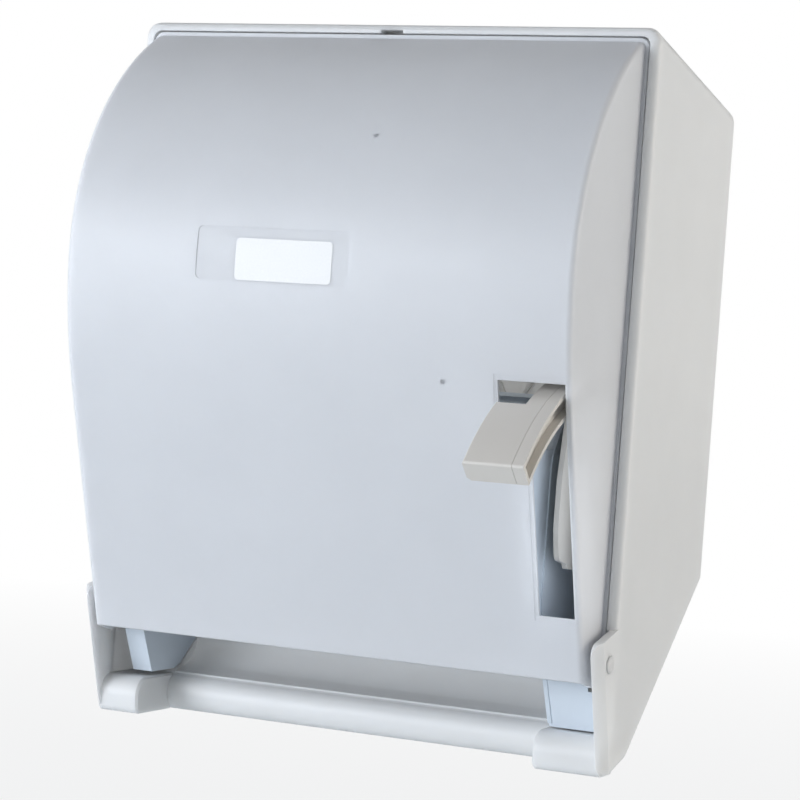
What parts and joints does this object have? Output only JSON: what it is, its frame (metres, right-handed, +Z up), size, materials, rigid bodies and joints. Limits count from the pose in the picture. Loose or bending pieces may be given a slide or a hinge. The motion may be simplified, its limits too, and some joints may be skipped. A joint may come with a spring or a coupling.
{
  "type": "lever paper towel dispenser",
  "caption": "Wall-mounted roll paper towel dispenser with a curved hinged front cover, a side push-down lever that turns a geared feed roller, and an open exit under the cover.",
  "frame": {"origin": "centre of the four wall screw holes, on the wall plane", "axes": "+X to the right as seen from the front, +Y towards the wall, +Z up"},
  "size_m": [0.3304, 0.2785, 0.4183],
  "materials": {
    "housing_abs": "satin injection-moulded ABS, warm grey-white",
    "cover_abs": "satin injection-moulded ABS, cool white",
    "lever_abs": "satin injection-moulded ABS, light warm grey",
    "inner_plastic": "moulded ABS, light grey",
    "acetal": "natural acetal",
    "hub_plastic": "moulded polypropylene, dark grey",
    "steel": "drawn and stamped steel, zinc plated",
    "stainless": "stainless strip",
    "rubber": "moulded rubber sleeve"
  },
  "bodies": {
    "dispenser": {"rear_housing": "housing_abs", "cover_hinge_pins": "housing_abs", "left_side_frame": "inner_plastic", "right_side_frame": "inner_plastic", "rear_guide_plate": "inner_plastic", "front_rail": "inner_plastic", "tear_blade": "stainless", "blade_screws": "steel", "frame_screws": "steel", "lever_pivot_pin": "steel", "lever_return_spring": "steel", "gear_cover": "inner_plastic", "gear_cover_screws": "steel", "idler_stud": "steel", "backstop_clutch": "acetal", "cradle_rod": "steel", "press_springs": "steel", "arm_hinge_pins": "steel", "latch_bracket": "inner_plastic", "latch_spring": "steel"},
    "cover": {"front_cover": "cover_abs", "cover_catch": "inner_plastic"},
    "lever": {"lever_paddle": "lever_abs", "lever_arm": "lever_abs", "sector_gear": "acetal"},
    "idler": {"idler_gear": "acetal"},
    "feed_roller": {"feed_shaft": "steel", "feed_drum": "inner_plastic", "feed_sleeves": "rubber", "drive_pinion": "acetal", "hand_wheel": "hub_plastic"},
    "cradle": {"press_cradle": "inner_plastic"},
    "pressure_roller": {"press_rollers": "rubber", "press_axle": "steel"},
    "left_arm": {"left_roll_arm": "inner_plastic"},
    "right_arm": {"right_roll_arm": "inner_plastic"},
    "left_hub": {"left_core_hub": "hub_plastic"},
    "right_hub": {"right_core_hub": "hub_plastic"},
    "latch": {"latch_slider": "acetal"}
  },
  "joints": [
    {"name": "cover_open", "type": "hinge", "parent": "dispenser", "child": "cover", "pos_m": [0, -0.16, -0.184], "axis": [1, 0, 0], "range_deg": [0, 70]},
    {"name": "lever_press", "type": "hinge", "parent": "dispenser", "child": "lever", "pos_m": [0.14, -0.087, -0.05], "axis": [1, 0, 0], "range_deg": [0, 38], "stiffness_Nm_per_rad": 0.5, "springref_deg": -40.11, "deforming": ["lever_return_spring"]},
    {"name": "idler_spin", "type": "hinge", "parent": "dispenser", "child": "idler", "pos_m": [0.14, -0.03967, -0.14092], "axis": [1, 0, 0], "range_deg": [-190, 0]},
    {"name": "feed_spin", "type": "hinge", "parent": "dispenser", "child": "feed_roller", "pos_m": [0, -0.06902, -0.15998], "axis": [1, 0, 0], "range_deg": [0, 190]},
    {"name": "cradle_swing", "type": "hinge", "parent": "dispenser", "child": "cradle", "pos_m": [0, -0.10382, -0.12758], "axis": [1, 0, 0], "range_deg": [-4, 0], "stiffness_Nm_per_rad": 2, "springref_deg": 8.59, "deforming": ["press_springs"]},
    {"name": "pressure_spin", "type": "hinge", "parent": "cradle", "child": "pressure_roller", "pos_m": [0, -0.10082, -0.16558], "axis": [1, 0, 0], "range_deg": [-412, 0]},
    {"name": "left_arm_swing", "type": "hinge", "parent": "dispenser", "child": "left_arm", "pos_m": [-0.112, -0.012, 0.038], "axis": [0, 0, -1], "range_deg": [0, 12], "stiffness_Nm_per_rad": 1.5, "springref_deg": -11.46},
    {"name": "right_arm_swing", "type": "hinge", "parent": "dispenser", "child": "right_arm", "pos_m": [0.112, -0.012, 0.038], "axis": [0, 0, 1], "range_deg": [0, 12], "stiffness_Nm_per_rad": 1.5, "springref_deg": -11.46},
    {"name": "left_hub_spin", "type": "hinge", "parent": "left_arm", "child": "left_hub", "pos_m": [-0.099, -0.118, 0.038], "axis": [1, 0, 0], "continuous": true},
    {"name": "right_hub_spin", "type": "hinge", "parent": "right_arm", "child": "right_hub", "pos_m": [0.099, -0.118, 0.038], "axis": [1, 0, 0], "continuous": true},
    {"name": "latch_lock", "type": "slide", "parent": "dispenser", "child": "latch", "axis": [0, 0, 1], "range_m": [0, 0.004], "deforming": ["latch_spring"]}
  ],
  "couplings": [
    {"joint": "idler_spin", "follows": "lever_press", "ratio": -4.8571},
    {"joint": "feed_spin", "follows": "lever_press", "ratio": 4.8571},
    {"joint": "pressure_spin", "follows": "lever_press", "ratio": -10.686}
  ]
}
